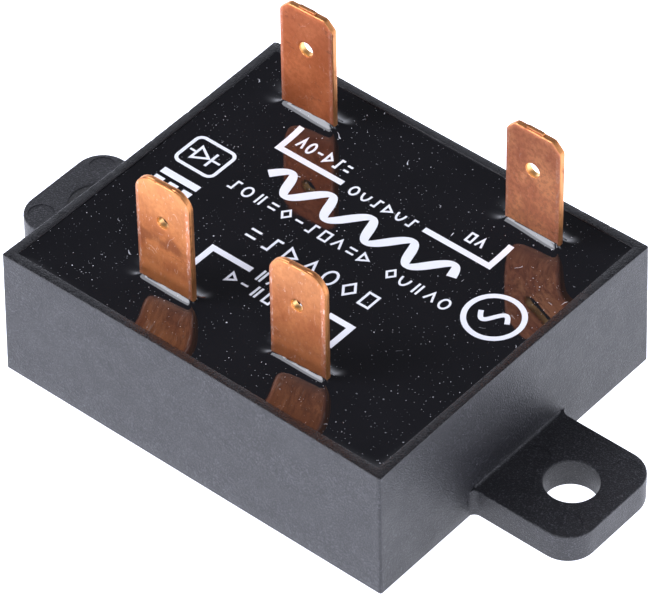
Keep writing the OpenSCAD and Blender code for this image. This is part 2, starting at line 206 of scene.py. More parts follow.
# Rows of printed signs: the signs, the row's lower left and upper right corner, the width of
# the lines and the share of its cell that a sign fills
SIGN_ROWS = (
    ("roof ring dash wedge step bars", (-12, 9.4), (-5.2, 10.9), 0.24, 0.68),
    ("box roof", (8.6, 9.5), (10.9, 10.8), 0.22, 0.68),
    ("ring cup step wedge cup step", (-4.1, 7.6), (4.3, 8.85), 0.22, 0.68),
    (
        "step ring posts bars diamond dash step box roof bars wedge gap diamond cup posts roof ring",
        (-13.4, 1.05), (13.6, 2.45), 0.22, 0.7,
    ),
    ("bars step wedge roof ring diamond box", (-8, -3.3), (8.3, -1.25), 0.25, 0.66),
    ("posts roof diamond cup step", (-3.2, -6.8), (3.7, -5.3), 0.24, 0.68),
    ("wedge dash posts box roof diamond cup", (-5.2, -8.7), (5.1, -7.25), 0.24, 0.68),
)
BRACKETS = (
    [(-12.8, 11.7), (-12.8, 8.35), (-4.9, 8.35)],
    [(5.0, 8.3), (12.8, 8.3), (12.8, 11.6)],
    [(-8.55, -9.3), (-8.55, -6.05), (-3.8, -6.05)],
    [(5.5, -6.05), (8.2, -6.05), (8.2, -9.3)],
)

# Studio. The softboxes have a direction, a distance in metres, a size and a radiance. The
# surroundings fall from bright to dark between two heights: the heights, then both strengths.
SOFTBOXES = {
    "key": ((-0.47, -0.545, 0.69), 0.7, (0.22, 0.26), 6.5),
    "key_halo": ((-0.47, -0.545, 0.69), 0.72, (0.38, 0.46), 6),
    "overhead": ((0.32, -0.22, 0.92), 0.8, (0.15, 0.15), 18),
}
HORIZON = (0.16, 0.60, 2.0, 0.13)
CAMERA = {"azimuth": 40.85, "elevation": 43.92, "roll": -0.92, "distance": 477.4, "lens": 281.9}
CAMERA_TARGET = Vector((-0.92, 0.91, 7.3))


# ---- Shapes ----

def untwisted(blade, place):
    """A flat vector turned back by a blade's twist."""
    return Matrix.Rotation(-math.radians(blade["twist"]), 2) @ place


def corner_arc(before, here, after, radius, steps):
    """Points round one corner of a polygon."""
    if radius == 0:
        return [here]
    back = (before - here).normalized()
    ahead = (after - here).normalized()
    half = back.angle(ahead) / 2
    middle = here + (back + ahead).normalized() * (radius / math.sin(half))
    reach = radius / math.tan(half)
    start = here + back * reach - middle
    end = here + ahead * reach - middle
    sweep = start.angle(end)
    arc = []
    for k in range(steps + 1):
        t = k / steps
        blend = start * math.sin((1 - t) * sweep) + end * math.sin(t * sweep)
        arc.append(middle + blend / math.sin(sweep))
    return arc


def divided(start, end, steps):
    """The points that divide a line into equal steps, without its ends."""
    return [start.lerp(end, k / steps) for k in range(1, steps)]


def outline(corners, spacing=1.0, arc_steps=6, side_steps=()):
    """Points round a polygon of (x, y, radius) corners, with its sides divided by the spacing
    or into the side_steps, which the sides take in turn."""
    places = [Vector(corner[:2]) for corner in corners]
    count = len(places)
    arcs = []
    for i, corner in enumerate(corners):
        after = places[(i + 1) % count]
        arcs.append(corner_arc(places[i - 1], places[i], after, corner[2], arc_steps))
    points = []
    for i, arc in enumerate(arcs):
        start, end = arc[-1], arcs[(i + 1) % count][0]
        steps = side_steps[i % len(side_steps)] if side_steps else round((end - start).length / spacing)
        points += arc + divided(start, end, steps)
    return points


def box_loop(half, radius):
    """A rectangle about the origin with round corners, always with as many points."""
    ways = [(-1, -1), (1, -1), (1, 1), (-1, 1)]
    corners = [(x * half[0], y * half[1], radius) for x, y in ways]
    return outline(corners, arc_steps=3, side_steps=(184, 156))


def circle(centre, radius, count, clockwise=False):
    """Points round a circle."""
    way = -1 if clockwise else 1
    turns = [way * math.tau * k / count for k in range(count)]
    return [Vector((centre[0] + radius * math.cos(a), centre[1] + radius * math.sin(a))) for a in turns]


def inset(loop, distance):
    """The loop moved sideways, to the left of its direction."""
    moved = []
    for i, point in enumerate(loop):
        ahead = (loop[(i + 1) % len(loop)] - point).normalized()
        behind = (point - loop[i - 1]).normalized()
        side = Vector((-ahead.y - behind.y, ahead.x + behind.x)).normalized()
        moved.append(point + side * distance / side.dot(Vector((-ahead.y, ahead.x))))
    return moved


def inside(point, loop):
    """Whether a point lies inside a closed loop."""
    found = False
    for i, a in enumerate(loop):
        b = loop[i - 1]
        if (a.y > point.y) != (b.y > point.y):
            if point.x < a.x + (b.x - a.x) * (point.y - a.y) / (b.y - a.y):
                found = not found
    return found


def fill(loops, spacing):
    """Points and triangles inside the first loop and outside the others."""
    points = [p for loop in loops for p in loop]
    edges = []
    start = 0
    for loop in loops:
        edges += [(start + k, start + (k + 1) % len(loop)) for k in range(len(loop))]
        start += len(loop)
    body = inset(loops[0], spacing / 2)
    gaps = [inset(loop, spacing / 2) for loop in loops[1:]]
    low = [min(p[axis] for p in body) for axis in (0, 1)]
    high = [max(p[axis] for p in body) for axis in (0, 1)]
    columns = range(1, int((high[0] - low[0]) / spacing))
    rows = range(1, int((high[1] - low[1]) / spacing))
    grid = [Vector((low[0] + i * spacing, low[1] + j * spacing)) for i in columns for j in rows]
    points += [p for p in grid if inside(p, body) and not any(inside(p, gap) for gap in gaps)]
    made = geometry.delaunay_2d_cdt(points, edges, [], 1, 1e-6)
    triangles = []
    for face in made[2]:
        middle = sum((made[0][k] for k in face), Vector((0, 0))) / len(face)
        if not any(inside(middle, loop) for loop in loops[1:]):
            triangles.append(tuple(made[3][k][0] for k in face))
    return points, triangles


def at_height(loop, z):
    """A flat loop lifted to a height."""
    return [Vector((p.x, p.y, z)) for p in loop]


def rounded_profile(low, high, radius, steps=3):
    """A profile from low to high whose two edges are rounded."""
    quarter = [math.pi / 2 * k / steps for k in range(steps + 1)]
    bottom = [(radius * (1 - math.sin(a)), low + radius * (1 - math.cos(a))) for a in quarter]
    top = [(depth, high + low - z) for depth, z in reversed(bottom)]
    return bottom + top


def loft(rings, wrap=False):
    """Vertices and faces of a tube through rings; wrap joins the last ring to the first."""
    count = len(rings[0])
    verts = [point for ring in rings for point in ring]
    faces = []
    for i in range(len(rings) if wrap else len(rings) - 1):
        a = i * count
        b = (i + 1) % len(rings) * count
        for k in range(count):
            n = (k + 1) % count
            faces.append((a + k, a + n, b + n, b + k))
    return verts, faces


def plate(loops, profiles, spacing):
    """Vertices and faces of a plate. Each loop has an edge profile of (inset, height)."""
    verts = []
    faces = []
    rims = {0: [], -1: []}
    for loop, profile in zip(loops, profiles):
        rings = [at_height(inset(loop, depth), height) for depth, height in profile]
        points, sides = loft(rings)
        start = len(verts)
        verts += points
        faces += [tuple(start + k for k in face) for face in sides]
        for end in rims:
            first = start if end == 0 else start + len(points) - len(loop)
            rims[end] += list(range(first, first + len(loop)))
    for end, rim in rims.items():
        height = profiles[0][end][1]
        cap_loops = [inset(loop, profile[end][0]) for loop, profile in zip(loops, profiles)]
        points, triangles = fill(cap_loops, spacing)
        extra = len(verts)
        verts += at_height(points[len(rim):], height)
        places = rim + list(range(extra, len(verts)))
        faces += [tuple(places[k] for k in triangle) for triangle in triangles]
    return verts, faces


def make_object(name, verts, faces):
    """A Blender object in millimetres, with its faces turned outwards."""
    mesh = bpy.data.meshes.new(name)
    mesh.from_pydata(verts, [], faces)
    shape = bmesh.new()
    shape.from_mesh(mesh)
    bmesh.ops.recalc_face_normals(shape, faces=shape.faces)
    shape.to_mesh(mesh)
    shape.free()
    thing = bpy.data.objects.new(name, mesh)
    bpy.context.scene.collection.objects.link(thing)
    return thing


def tool(rings):
    """A closed shape through rings, to join or cut with."""
    verts, faces = loft(rings)
    count = len(rings[0])
    ends = [tuple(range(count)), tuple(range(len(verts) - count, len(verts)))]
    return make_object("tool", verts, faces + ends)


def prism(ring, low, high):
    """A flat outline made solid between two heights."""
    return tool([at_height(ring, low), at_height(ring, high)])


def block(low, high):
    """A box between two corners."""
    corners = ((low[0], low[1]), (high[0], low[1]), (high[0], high[1]), (low[0], high[1]))
    return prism([Vector(corner) for corner in corners], low[2], high[2])


def apply_modifiers(thing):
    """Bakes the object's modifiers into its mesh."""
    bpy.context.view_layer.update()
    solved = thing.evaluated_get(bpy.context.evaluated_depsgraph_get())
    mesh = bpy.data.meshes.new_from_object(solved)
    thing.modifiers.clear()
    thing.data = mesh


def combine(thing, others, operation, keep=False):
    """Joins ("UNION") or cuts ("DIFFERENCE") an object with others."""
    for other in others:
        step = thing.modifiers.new("combine", "BOOLEAN")
        step.operation = operation
        step.solver = "EXACT"
        step.object = other
        apply_modifiers(thing)
        if not keep:
            bpy.data.objects.remove(other)


def finish_piece(thing, nodes=(), smooth_angle=35):
    """Makes a shape a piece of the object: metres, shading, body and what it replaces."""
    thing.data.transform(Matrix.Scale(MM, 4))
    thing.data.shade_smooth()
    thing.data.set_sharp_from_angle(angle=math.radians(smooth_angle))
    normals = thing.modifiers.new("normals", "WEIGHTED_NORMAL")
    normals.keep_sharp = True
    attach(thing, "root")
    if nodes:
        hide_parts(*nodes)
    return thing


# ---- Materials ----

class Look:
    """A Principled material and short ways to add nodes to it. Patterns have sizes in millimetres."""

    def __init__(self, name, **values):
        self.material = bpy.data.materials.new(name)
        self.material.use_nodes = True
        self.tree = self.material.node_tree
        self.shader = self.tree.nodes["Principled BSDF"]
        self.object_coords = self.add("TexCoord").outputs["Object"]
        for key, value in values.items():
            self.feed(self.shader.inputs[key.replace("_", " ")], value)

    def add(self, kind, inputs=None, **settings):
        """A new node with its settings and inputs."""
        node = self.tree.nodes.new("ShaderNode" + kind)
        for key, value in settings.items():
            setattr(node, key, value)
        for key, value in (inputs or {}).items():
            self.feed(node.inputs[key], value)
        return node

    def feed(self, socket, value):
        """Links another node's output to the socket, or sets the socket to a plain value."""
        if isinstance(value, bpy.types.NodeSocket):
            self.tree.links.new(value, socket)
        else:
            socket.default_value = value

    def set(self, socket, value):
        """Feeds one of the shader's own sockets."""
        self.feed(self.shader.inputs[socket], value)

    def coords(self, stretch=(1, 1, 1), turn=0.0, shift=0.0, bend=0.0):
        """Object coordinates in millimetres, bent by a noise, turned about Z and then stretched."""
        place = self.object_coords
        if bend:
            inputs = {"Vector": place, "Scale": 1.6 / MM, "Detail": 0.0}
            wander = self.add("TexNoise", inputs).outputs["Color"]
            scaled = self.add("VectorMath", {0: wander, "Scale": bend * MM}, operation="SCALE")
            inputs = {0: place, 1: scaled.outputs[0]}
            place = self.add("VectorMath", inputs, operation="ADD").outputs[0]
        if turn:
            turned = self.add("Mapping", {"Vector": place, "Rotation": (0, 0, math.radians(turn))})
            place = turned.outputs[0]
        scale = [s / MM for s in stretch]
        scaled = self.add("Mapping", {"Vector": place, "Scale": scale, "Location": (shift, shift, 0)})
        return scaled.outputs[0]

    def noise(self, size, detail=3, rough=0.55, stretch=(1, 1, 1), turn=0.0, shift=0.0):
        """Cloudy noise from 0 to 1 whose lumps are about that size."""
        place = self.coords(stretch, turn, shift)
        inputs = {"Vector": place, "Scale": 1 / size, "Detail": detail, "Roughness": rough}
        return self.add("TexNoise", inputs).outputs["Fac"]

    def calc(self, operation, a, b=0.0):
        """One step of arithmetic."""
        return self.add("Math", {0: a, 1: b}, operation=operation).outputs[0]

    def step(self, value, low, high, start=0.0, end=1.0):
        """A smooth rise from start to end as the value goes from low to high."""
        inputs = {"Value": value, 1: low, 2: high, 3: start, 4: end}
        return self.add("MapRange", inputs, interpolation_type="SMOOTHSTEP").outputs[0]

    def mix(self, factor, a, b):
        """One colour turning into another."""
        inputs = {0: factor, 6: rgba(a), 7: rgba(b)}
        return self.add("Mix", inputs, data_type="RGBA").outputs[2]

    def specks(self, cell, size, share, stretch=(1, 1, 1), turn=0.0, flat=False, bend=0.0):
        """Brightness of scattered dots. Each cell may hold one, a share do, up to that radius."""
        inputs = {"Vector": self.coords(stretch, turn, 0.0, bend), "Scale": 1 / cell}
        dots = self.add("TexVoronoi", inputs, voronoi_dimensions="2D" if flat else "3D")
        pick = self.add("SeparateColor", {0: dots.outputs["Color"]}).outputs
        radius = self.calc("MULTIPLY", pick[1], size / cell)
        dot = self.calc("LESS_THAN", dots.outputs["Distance"], radius)
        dot = self.calc("MULTIPLY", dot, self.step(pick[2], 0.0, 1.0, 0.35, 1.0))
        return self.calc("MULTIPLY", dot, self.calc("LESS_THAN", pick[0], share))

    def bump(self, height, depth, normal=None):
        """Adds relief of that depth to the surface, on top of any relief given."""
        inputs = {"Height": height, "Distance": depth * MM, "Strength": 1.0}
        if normal:
            inputs["Normal"] = normal
        relief = self.add("Bump", inputs).outputs[0]
        self.set("Normal", relief)
        return relief


def rgba(colour):
    """A colour with its alpha, or a socket as it is."""
    return colour if isinstance(colour, bpy.types.NodeSocket) else (*colour, 1.0)


def lint(look, flat):
    """Short curled pale fibres lying in four directions."""
    total = None
    for turn, cell in ((20, 1.9), (65, 2.6), (110, 2.2), (155, 3.1)):
        fibres = look.specks(cell, 0.05, 0.4, (0.13, 1, 1), turn, flat, 0.7)
        total = fibres if total is None else look.calc("MAXIMUM", total, fibres)
    return total


def moulding_look():
    """Fine-textured black thermoplastic with a little dust on it. The rim is painted darker as a painted
    shade, and is left without dust and smoother.
    """
    look = Look("moulded_black_plastic", IOR=1.47)
    cloud = look.noise(6, 4)
    grain = look.noise(0.18, 2, 0.8)
    black = look.mix(cloud, (0.008, 0.008, 0.010), (0.013, 0.013, 0.016))
    black = look.mix(look.step(grain, 0.54, 0.66, 0.0, 0.9), black, (0.065, 0.065, 0.074))
    height = look.add("SeparateXYZ", {0: look.coords()}).outputs[2]
    # Painted shade: the top of the rim gets a darker black than the rest of the case, no dust and less
    # roughness.
    rim = look.step(height, HEIGHT - 0.1, HEIGHT - 0.02)
    black = look.mix(rim, black, (0.006, 0.006, 0.0075))
    dust = look.calc("MAXIMUM", look.specks(0.5, 0.045, 0.1), look.specks(1.7, 0.08, 0.25))
    patchy = look.step(look.noise(5, 3), 0.42, 0.62, 0.25, 1.0)
    dust = look.calc("MULTIPLY", look.calc("MAXIMUM", dust, lint(look, False)), patchy)
    dust = look.calc("MULTIPLY", dust, look.calc("SUBTRACT", 1.0, rim))
    look.set("Base Color", look.mix(look.calc("MULTIPLY", dust, 0.7), black, DUST))
    rough = look.step(look.noise(2.2, 4), 0.3, 0.7, 0.35, 0.43)
    rough = look.calc("SUBTRACT", rough, look.calc("MULTIPLY", rim, 0.14))
    look.set("Roughness", look.calc("ADD", rough, look.calc("MULTIPLY", dust, 0.4)))
    relief = look.bump(grain, 0.08)
    look.bump(look.noise(0.9, 2), 0.006, relief)
    return look.material


def epoxy_look():
    """Glossy black potting compound, faintly smeared, with white dust and lint."""
    look = Look("glossy_black_epoxy", IOR=1.49)
    tint = look.mix(look.noise(5, 3), (0.0045, 0.0045, 0.0058), (0.0078, 0.0075, 0.0095))
    dust = look.specks(0.36, 0.035, 0.18, flat=True)
    for cell, size, share in ((0.7, 0.05, 0.26), (1.6, 0.08, 0.4)):
        dust = look.calc("MAXIMUM", dust, look.specks(cell, size, share, flat=True))
    patchy = look.step(look.noise(3.5, 3), 0.40, 0.60, 0.2, 1.0)
    dust = look.calc("MULTIPLY", look.calc("MAXIMUM", dust, lint(look, True)), patchy)
    look.set("Base Color", look.mix(dust, tint, DUST))
    smear = look.step(look.noise(4.5, 5, 0.6, (1, 2.5, 1), 30), 0.45, 0.8, 0.03, 0.09)
    look.set("Roughness", look.calc("ADD", smear, look.calc("MULTIPLY", dust, 0.5)))
    look.bump(look.noise(1.4, 3), 0.0012)
    return look.material


def ink_look():
    """Matt white screen-printing ink, a little uneven."""
    look = Look("white_ink", IOR=1.45)
    look.set("Base Color", look.mix(look.noise(0.9, 4), (0.82, 0.85, 0.92), (0.90, 0.92, 0.98)))
    look.set("Roughness", look.step(look.noise(0.3), 0.3, 0.7, 0.42, 0.6))
    look.bump(look.noise(0.12, 2), 0.004)
    return look.material


def scratches(look, seed):
    """Thin curved scratches: contour lines of a noise, kept in a few patches."""
    contour = look.noise(2.6, 2, 0.5, (1, 1, 0.5), 0, seed + 31)
    away = look.calc("ABSOLUTE", look.calc("SUBTRACT", contour, 0.5))
    patch = look.step(look.noise(1.3, 2, 0.5, (1, 1, 1), 0, seed + 37), 0.52, 0.62)
    return look.calc("MULTIPLY", look.calc("LESS_THAN", away, 0.003), patch)


def stripe(look, cloud, height, centre, half):
    """A tarnished stripe across a blade, at that height and with ragged edges."""
    away = look.calc("ABSOLUTE", look.calc("SUBTRACT", centre, height))
    away = look.calc("DIVIDE", away, half)
    away = look.calc("ADD", away, look.step(cloud, 0.3, 0.7, -0.7, 0.7))
    return look.step(away, 1.3, 0.0, 0.0, 0.6)


def rubs(look, margin, lined, seed):
    """Where the metal is rubbed bright: scuffs, most of them on the margins, and scratches."""
    scuff = look.noise(0.22, 4, 0.75, (1, 1, 0.3), 0, seed + 19)
    worn = look.calc("ADD", scuff, look.calc("MULTIPLY", margin, 0.1))
    scuffed = look.step(worn, 0.62, 0.70, 0.0, 0.1 + lined)
    return look.calc("MAXIMUM", scuffed, look.calc("MULTIPLY", scratches(look, seed), lined))


def painted_light_by_height(look, blade, tone, height, light):
    """The tone painted lighter just above the epoxy as painted light, and changed towards the tip: painted
    shade on the outputs and painted light on the inputs.
    """
    base = POTTING_HIGH.z + blade["climb"]
    base_light = look.step(height, base + 2.6, base + 1.6, 0.0, BASE_PAINTED_LIGHT[blade["kind"]])
    tone = look.mix(base_light, tone, [min(1, 1.6 * c) for c in light])
    painted_tip_tone, strength = TIP_PAINTED_TONE[blade["kind"]]
    tip = blade["tip"].z
    return look.mix(look.step(height, tip - 8, tip, 0.0, strength), tone, painted_tip_tone)


def copper_look(blade, light, dark, stain, seed, grainy, lined, band=None):
    """Rolled copper alloy with lines along the blade, cloudy tarnish, stains and rubs, with painted light
    and shade by height and a painted highlight on the margins.
    """
    look = Look(f"copper_{blade['kind']}_{seed}", Metallic=1.0)
    cloud = look.noise(2.4, 4, 0.6, (1, 1, 0.8), 0, seed)
    mottle = look.noise(0.45, 3, 0.65, (1, 1, 0.85), 0, seed + 7)
    lines = look.noise(0.12, 3, 0.7, (1, 1, 0.05), 0, seed)
    tone = look.mix(look.step(cloud, 0.32, 0.68), dark, light)
    tone = look.mix(look.step(mottle, 0.42, 0.62, 0.0, grainy), tone, [0.8 * c for c in dark])
    tone = look.mix(look.step(lines, 0.48, 0.72, 0.0, lined), tone, light)
    stains = look.step(look.noise(1.5, 5, 0.7, (1, 1, 1.6), 0, seed + 13), 0.60, 0.74, 0.0, 0.8)
    across, _, height = look.add("SeparateXYZ", {0: look.coords(turn=-blade["twist"])}).outputs
    if band:
        drop, half = band
        tarnished = stripe(look, cloud, height, blade["tip"].z - drop, half)
        stains = look.calc("MAXIMUM", stains, tarnished)
    tone = look.mix(stains, tone, stain)
    tone = painted_light_by_height(look, blade, tone, height, light)
    middle = untwisted(blade, blade["tip"].xy).x
    away = look.calc("ABSOLUTE", look.calc("SUBTRACT", across, middle))
    margin = look.step(away, BLADE_W / 2 - 0.55, BLADE_W / 2 - 0.35)
    # Painted highlight: the coined margins are tinted lighter and pinker.
    tone = look.mix(look.calc("MULTIPLY", margin, 0.4), tone, (0.70, 0.28, 0.17))
    look.set("Base Color", look.mix(rubs(look, margin, lined, seed), tone, (1.0, 0.80, 0.70)))
    matt = 0.40 if blade["kind"] == "input" else 0.50
    uneven = look.step(mottle, 0.3, 0.7, matt, matt + 0.12)
    look.set("Roughness", look.calc("ADD", uneven, look.calc("MULTIPLY", stains, 0.1)))
    relief = look.bump(lines, 0.012 * lined)
    look.bump(mottle, 0.03 * grainy, relief)
    return look.material


def sheared_edge_look(name, bright, dull, rough, seed):
    """Freshly cut copper at the edges: gold with brown, torn patches."""
    look = Look(name, Metallic=1.0)
    torn = look.noise(0.8, 4, 0.65, (1, 1, 0.45), 0, seed)
    lines = look.noise(0.09, 3, 0.7, (1, 1, 0.08), 0, seed)
    tone = look.mix(look.step(torn, 0.48, 0.68), bright, dull)
    look.set("Base Color", look.mix(look.step(lines, 0.45, 0.8, 0.0, 0.35), tone, dull))
    look.set("Roughness", look.step(torn, 0.4, 0.7, rough, rough + 0.15))
    look.bump(look.noise(0.25, 3, 0.6, (1, 1, 0.4)), 0.008)
    return look.material


def metal_look(name, light, dark, rough, streak):
    """Plain metal with cloudy tone and fine marks along one direction."""
    look = Look(name, Metallic=1.0)
    cloud = look.noise(2.4, 4)
    lines = look.noise(0.08, 3, 0.7, streak)
    tone = look.mix(look.step(cloud, 0.3, 0.7), dark, light)
    look.set("Base Color", look.mix(look.step(lines, 0.5, 0.75, 0.0, 0.3), tone, dark))
    look.set("Roughness", look.step(lines, 0.3, 0.7, rough, rough + 0.12))
    look.bump(lines, 0.004)
    return look.material


def solid_look(name, light, dark, rough, size):
    """Painted, moulded or fired surface: two close tones in a fine cloudy grain."""
    look = Look(name, IOR=1.5)
    cloud = look.noise(size, 4, 0.6)
    look.set("Base Color", look.mix(look.step(cloud, 0.3, 0.7), dark, light))
    look.set("Roughness", look.step(look.noise(size * 0.4), 0.3, 0.7, rough, rough + 0.12))
    look.bump(look.noise(size * 0.15, 2), 0.004)
    return look.material


def laminate_look():
    """Green solder resist over a fine glass weave."""
    look = Look("green_laminate", IOR=1.5, Coat_Weight=0.3, Coat_Roughness=0.15)
    weave = []
    for direction in ("X", "Y"):
        inputs = {"Vector": look.coords(), "Scale": 0.9, "Distortion": 0.15}
        weave.append(look.add("TexWave", inputs, bands_direction=direction).outputs["Fac"])
    cloth = look.calc("MULTIPLY", weave[0], weave[1])
    look.set("Base Color", look.mix(cloth, (0.012, 0.075, 0.028), (0.03, 0.14, 0.055)))
    look.set("Roughness", look.step(look.noise(1.5), 0.3, 0.7, 0.25, 0.4))
    look.bump(cloth, 0.01)
    return look.material


def banded_look(name, base, bands, centre, rough):
    """A lacquered body that lies along X, with painted rings at offsets from its centre."""
    look = Look(name, IOR=1.5, Coat_Weight=0.4, Coat_Roughness=0.1)
    tone = look.mix(look.noise(0.8, 3), base, [0.8 * c for c in base])
    along = look.add("SeparateXYZ", {0: look.coords()}).outputs[0]
    for offset, half, colour in bands:
        away = look.calc("ABSOLUTE", look.calc("SUBTRACT", along, centre + offset))
        tone = look.mix(look.calc("LESS_THAN", away, half), tone, colour)
    look.set("Base Color", tone)
    look.set("Roughness", look.step(look.noise(0.4), 0.3, 0.7, rough, rough + 0.1))
    look.bump(look.noise(0.3, 2), 0.006)
    return look.material


# ---- Case ----

def outer_loop(z, depth):
    """The outside of the walls at a height. They lean out at the foot and bow in at the rim."""
    half = RIM + Vector((1, 1)) * DRAFT * (1 - z / HEIGHT)
    bow = BOW * (z / HEIGHT) ** 2
    loop = []
    for x, y in box_loop(half, CORNER):
        if abs(abs(x) - half.x) < TINY:
            x -= math.copysign(bow * (1 - (y / half.y) ** 2), x)
        elif abs(abs(y) - half.y) < TINY:
            y -= math.copysign(bow * (1 - (x / half.x) ** 2), y)
        loop.append(Vector((x, y)))
    return inset(loop, depth)


def nicked(point):
    """A point on the rim's outer edge, moved by small dents."""
    dent = max(0.0, noise.noise(point * NICK_RATE) - NICK_LEVEL) * NICK_DEPTH
    inward = Vector((-point.x, -point.y, 0)).normalized()
    return point + inward * dent - Vector((0, 0, 0.5 * dent))


def case_rings():
    """Rings from the outer foot over the rim, down the inside and under the floor."""
    profile = rounded_profile(0, HEIGHT, RIM_EDGE)
    middle = len(profile) // 2
    rows = 10
    walls = [(0, HEIGHT * k / rows) for k in range(1, rows)] + [(0, HEIGHT - 4 * RIM_EDGE)]
    profile[middle:middle] = walls
    rings = []
    for depth, z in profile:
        ring = at_height(outer_loop(z, depth), z)
        rings.append([nicked(p) for p in ring] if z > HEIGHT - 2 * RIM_EDGE else ring)
    cavity = box_loop(CAVITY, SHARP)
    for depth, z in reversed(rounded_profile(0, HEIGHT, RIM_EDGE)[middle:]):
        rings.append(at_height(inset(cavity, -depth), z))
    rings.append(at_height(cavity, FLOOR))
    rings += [at_height(box_loop(REBATE, SHARP), z) for z in (FLOOR, REBATE_Z)]
    rings += [at_height(box_loop(WINDOW, SHARP), z) for z in (REBATE_Z, 0)]
    return rings


def mirrored(loop):
    """The loop mirrored in X, still running the same way round."""
    return [Vector((-p.x, p.y)) for p in reversed(loop)]


def ear(side):
    """One mounting ear with its screw hole, round edges and root fillets."""
    foot = RIM.x + DRAFT - EAR_SINK
    back = foot - 2 * BURIED
    half = EAR_W / 2
    spread = half + 2 * EAR_ROOT
    corners = [
        (back, -spread, 0), (foot, -spread, 0), (foot, -half, EAR_ROOT),
        (EAR_X, -half, EAR_CORNER), (EAR_X, half, EAR_CORNER),
        (foot, half, EAR_ROOT), (foot, spread, 0), (back, spread, 0),
    ]
    loops = [outline(corners, 1.0, 10), circle((HOLE_X, 0), HOLE_R, 64, clockwise=True)]
    if side < 0:
        loops = [mirrored(loop) for loop in loops]
    soft = rounded_profile(0, EAR_T, EDGE)
    return make_object("ear", *plate(loops, [soft, soft], 1.5))


def ear_fillet(side):
    """The small hollow curve where an ear's top meets its wall."""
    wall = RIM.x + DRAFT * (1 - EAR_T / HEIGHT) - SUNK
    back = wall - 0.5
    section = [(back, EAR_T - BURIED), (wall + EAR_FILLET, EAR_T - BURIED)]
    for k in range(7):
        angle = math.pi / 2 * k / 6
        out = EAR_FILLET * (1 - math.sin(angle))
        up = EAR_FILLET * (1 - math.cos(angle))
        section.append((wall + out, EAR_T + up))
    section.append((back, EAR_T + EAR_FILLET))
    reach = EAR_W / 2 - EDGE
    return tool([[Vector((side * x, y, z)) for x, z in section] for y in (-reach, reach)])


def moulded_case(look):
    """The open case with its ears, board rests and ejector marks."""
    case = make_object("moulded_case", *loft(case_rings(), wrap=True))
    case.data.materials.append(look)
    added = []
    for side in (-1, 1):
        added += [ear(side), ear_fillet(side)]
        near, far = sorted((side * (CAVITY.x - REST_SIDE), side * (CAVITY.x + BURIED)))
        for y in REST_Y:
            low = (near, y - REST_SIDE / 2, FLOOR - BURIED)
            added.append(block(low, (far, y + REST_SIDE / 2, REST_TOP)))
    combine(case, added, "UNION")
    rings = [circle((x * side, y), EJECTOR_R, 48) for side in (-1, 1) for x, y in EJECTORS]
    marks = [prism(ring, EAR_T - EJECTOR_DEPTH, EAR_T + 1) for ring in rings]
    combine(case, marks, "DIFFERENCE")
    return finish_piece(case, ["case"])


# ---- Epoxy ----

def blade_climb(blade, x, y):
    """How far the epoxy near a blade is lifted."""
    place = untwisted(blade, Vector((x, y)) - blade["tip"].xy)
    beyond = abs(place.x) - BLADE_W / 2
    ahead = abs(place.y) - BLADE_T / 2
    gap = math.hypot(max(beyond, 0), max(ahead, 0))
    angle = math.atan2(max(beyond + CLIMB_TURN, 0), max(ahead + CLIMB_TURN, TINY))
    aside = math.sin(angle) ** 2
    along = max(-1, min(1, place.x / (BLADE_W / 2)))
    share = (1 - CLIMB_DROOP * along ** 4) * (1 + (CLIMB_SIDE - 1) * aside)
    reach = blade["reach"] * (1 - blade["lean"] * along) * (1 + (SIDE_REACH - 1) * aside)
    return blade["climb"] * share * math.exp(-gap / reach)


def wall_climb(gap, along):
    """How far the epoxy is lifted at that gap from a wall: more so towards the corners."""
    share = 1 - WALL_CALM * (1 - math.exp(-along / WALL_FADE))
    return WALL_CLIMB * share * math.exp(-gap / WALL_LENGTH)


def epoxy_top(x, y):
    """Height of the epoxy, which climbs the blades and the walls and ripples a little."""
    near = CAVITY.x - abs(x), CAVITY.y - abs(y)
    rises = [wall_climb(near[0], near[1]), wall_climb(near[1], near[0])]
    z = POTTING_HIGH.z + FILM + math.sqrt(math.hypot(rises[0] ** 2, rises[1] ** 2))
    z += sum(blade_climb(blade, x, y) for blade in BLADES.values())
    return z + RIPPLE * noise.noise(Vector((x, y, 0)) / RIPPLE_SIZE)


def graded(half, centres):
    """Places from -half to half, closer together near the centres and the ends."""
    places = [-half]
    while places[-1] < half:
        gap = min(abs(places[-1] - c) for c in (*centres, -half, half))
        places.append(places[-1] + min(COARSEST, FINEST + COARSENING * gap))
    return [place * half / places[-1] if place > 0 else place for place in places]


def epoxy_skin(look, blades):
    """The epoxy's surface, a thin closed layer on the potting with the blades cut out."""
    tips = [blade["tip"] for blade in BLADES.values()]
    columns = graded(CAVITY.x, [tip.x + end * BLADE_W / 2 for tip in tips for end in (-1, 1)])
    rows = graded(CAVITY.y, [tip.y + face * BLADE_T / 2 for tip in tips for face in (-1, 1)])
    wide, deep = len(columns), len(rows)
    verts = [Vector((x, y, epoxy_top(x, y))) for y in rows for x in columns]
    faces = []
    for j in range(deep - 1):
        for i in range(wide - 1):
            k = j * wide + i
            faces.append((k, k + 1, k + 1 + wide, k + wide))
    border = list(range(wide))
    border += [j * wide + wide - 1 for j in range(1, deep)]
    border += [deep * wide - 1 - i for i in range(1, wide)]
    border += [j * wide for j in range(deep - 2, 0, -1)]
    first = len(verts)
    verts += [Vector((*verts[k].xy, POTTING_HIGH.z)) for k in border]
    for i, k in enumerate(border):
        n = (i + 1) % len(border)
        faces.append((k, border[n], first + n, first + i))
    faces.append(tuple(range(first, first + len(border))))
    skin = make_object("epoxy_skin", verts, faces)
    skin.data.materials.append(look)
    combine(skin, blades, "DIFFERENCE", keep=True)
    return finish_piece(skin, smooth_angle=50)


# ---- Blades ----

def two_sided(half_profile, middle=()):
    """A profile through the blade's thickness from one side's (inset, height) points."""
    return [(depth, -h) for depth, h in half_profile] + list(middle) + list(reversed(half_profile))


